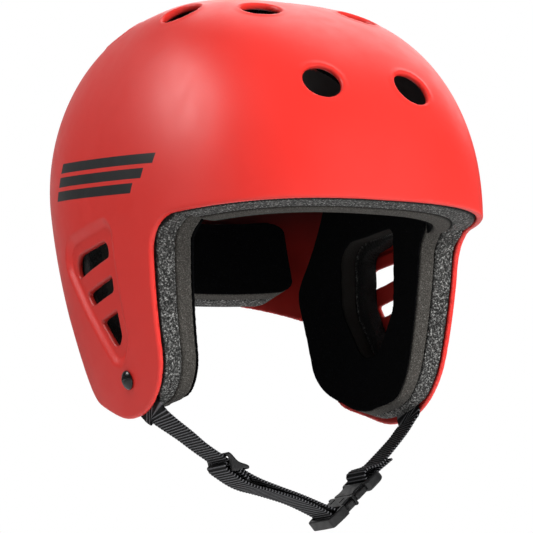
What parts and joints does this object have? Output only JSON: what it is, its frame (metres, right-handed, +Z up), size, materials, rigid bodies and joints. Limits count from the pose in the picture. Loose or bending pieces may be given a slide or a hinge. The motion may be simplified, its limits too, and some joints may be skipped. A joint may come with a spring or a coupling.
{
  "type": "water sports helmet",
  "caption": "Full-cut water sports helmet: moulded shell with ear flaps, fleece-faced foam pads and a riveted webbing chin strap with a side-release buckle.",
  "frame": {"origin": "on the mid plane inside the dome, level with its widest point, where the wearer's head sits", "axes": "+Z up, -Y the wearer's front, +X the wearer's left"},
  "size_m": [0.22, 0.268, 0.3162],
  "materials": {
    "shell_red": "satin coral red moulded plastic",
    "firm_foam": "coarse beaded dark grey foam",
    "soft_foam": "fine-celled grey-brown foam",
    "fleece": "short black fleece",
    "webbing": "ribbed woven black webbing",
    "buckle_plastic": "fine-textured black moulded plastic",
    "rivet_plastic": "smooth black domed head",
    "washer_steel": "plain steel"
  },
  "bodies": {
    "shell": {"outer_shell": "shell_red", "brow_pad_firm_foam": "firm_foam", "brow_pad_soft_foam": "soft_foam", "brow_pad_fleece": "fleece", "ear_pad_left_firm_foam": "firm_foam", "ear_pad_left_soft_foam": "soft_foam", "ear_pad_left_fleece": "fleece", "ear_pad_right_firm_foam": "firm_foam", "ear_pad_right_soft_foam": "soft_foam", "ear_pad_right_fleece": "fleece", "nape_pad_firm_foam": "firm_foam", "nape_pad_soft_foam": "soft_foam", "nape_pad_fleece": "fleece", "crown_pad_centre_firm_foam": "firm_foam", "crown_pad_centre_fleece": "fleece", "crown_pad_left_firm_foam": "firm_foam", "crown_pad_left_fleece": "fleece", "crown_pad_right_firm_foam": "firm_foam", "crown_pad_right_fleece": "fleece", "anchor_tab_left": "webbing", "rivet_left": "rivet_plastic", "rivet_washer_left": "washer_steel", "anchor_tab_right": "webbing", "rivet_right": "rivet_plastic", "rivet_washer_right": "washer_steel"},
    "chin_strap": {"webbing_right_upper": "webbing", "webbing_left_upper": "webbing", "webbing_left_lower": "webbing", "buckle_plug": "buckle_plastic"},
    "buckle_socket_body": {"webbing_right_lower": "webbing", "buckle_socket": "buckle_plastic"},
    "tri_glide_body": {"tri_glide": "buckle_plastic", "webbing_right_folded_end": "webbing"},
    "prong_front": {"buckle_prong_front": "buckle_plastic"},
    "prong_rear": {"buckle_prong_rear": "buckle_plastic"}
  },
  "joints": [
    {"name": "chin_strap_swing", "type": "hinge", "parent": "shell", "child": "chin_strap", "pos_m": [0, -0.013, -0.131], "axis": [1, 0, 0], "range_deg": [-35, 20]},
    {"name": "buckle_release", "type": "slide", "parent": "chin_strap", "child": "buckle_socket_body", "axis": [-0.766, 0, -0.6428], "range_m": [0, 0.019], "deforming": ["webbing_right_upper", "buckle_prong_front", "buckle_prong_rear"]},
    {"name": "tri_glide_slide", "type": "slide", "parent": "buckle_socket_body", "child": "tri_glide_body", "axis": [0.8572, 0, -0.515], "range_m": [-0.006, 0.001]},
    {"name": "prong_front_squeeze", "type": "hinge", "parent": "chin_strap", "child": "prong_front", "pos_m": [0.04528, -0.0224, -0.17449], "axis": [0.6428, 0, -0.766], "range_deg": [0, 12], "stiffness_Nm_per_rad": 0.05},
    {"name": "prong_rear_squeeze", "type": "hinge", "parent": "chin_strap", "child": "prong_rear", "pos_m": [0.04528, -0.0036, -0.17449], "axis": [-0.6428, 0, 0.766], "range_deg": [0, 12], "stiffness_Nm_per_rad": 0.05}
  ],
  "couplings": [
    {"joint": "prong_rear_squeeze", "follows": "prong_front_squeeze", "ratio": 1}
  ]
}
